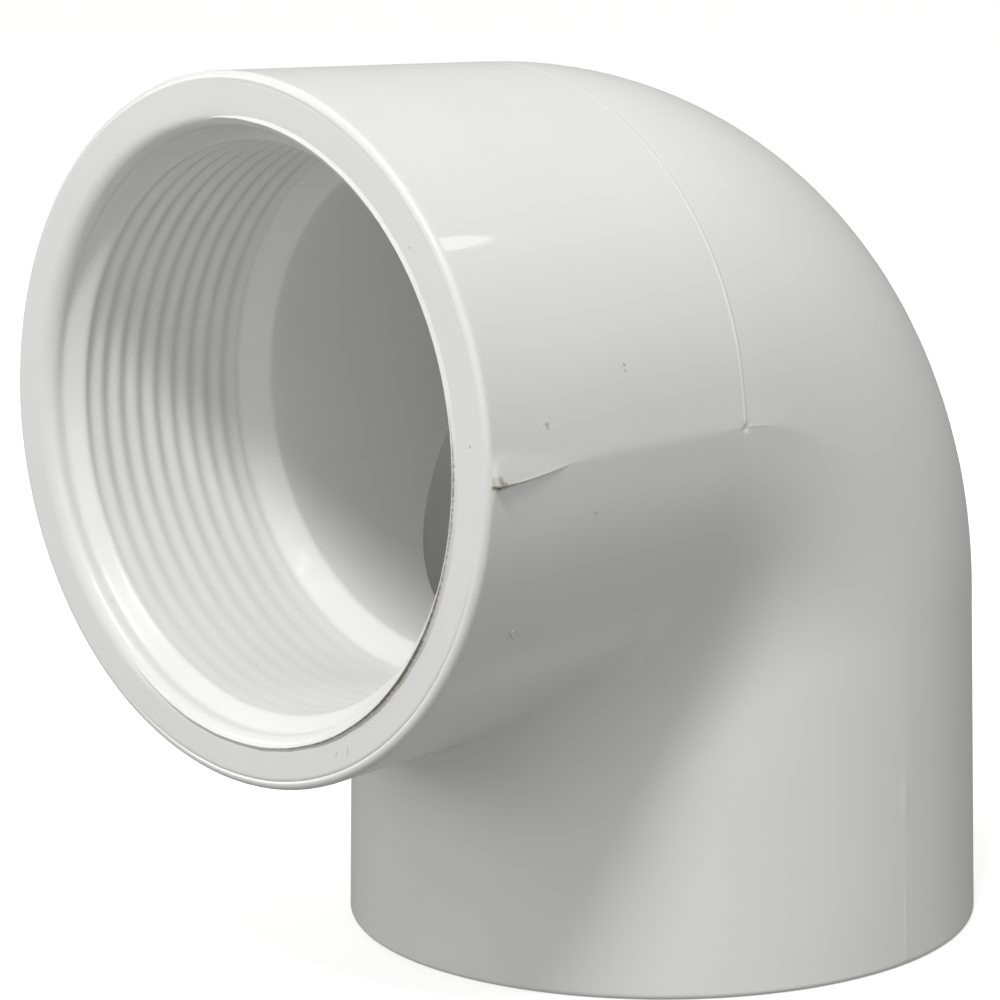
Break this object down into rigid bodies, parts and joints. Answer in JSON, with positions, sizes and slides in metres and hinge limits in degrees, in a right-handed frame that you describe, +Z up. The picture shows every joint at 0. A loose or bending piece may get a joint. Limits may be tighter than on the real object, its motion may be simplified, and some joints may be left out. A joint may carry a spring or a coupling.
{
  "type": "pvc elbow fitting",
  "caption": "Ninety degree white PVC elbow with a female pipe thread in each port, for joining two irrigation pipes at a right angle.",
  "frame": {"origin": "middle of the bounding box in X and Y, on the plane of the lower port's face, so the elbow stands on that port; the two port axes cross at (0, 0.01295, 0.06150) m", "axes": "+Z up along the lower port's axis, -Y out of the side port, +X across both ports"},
  "size_m": [0.0712, 0.097, 0.0971],
  "materials": {
    "white_pvc": "glossy injection-moulded PVC, white"
  },
  "bodies": {
    "root": {"elbow_body": "white_pvc"}
  },
  "joints": []
}
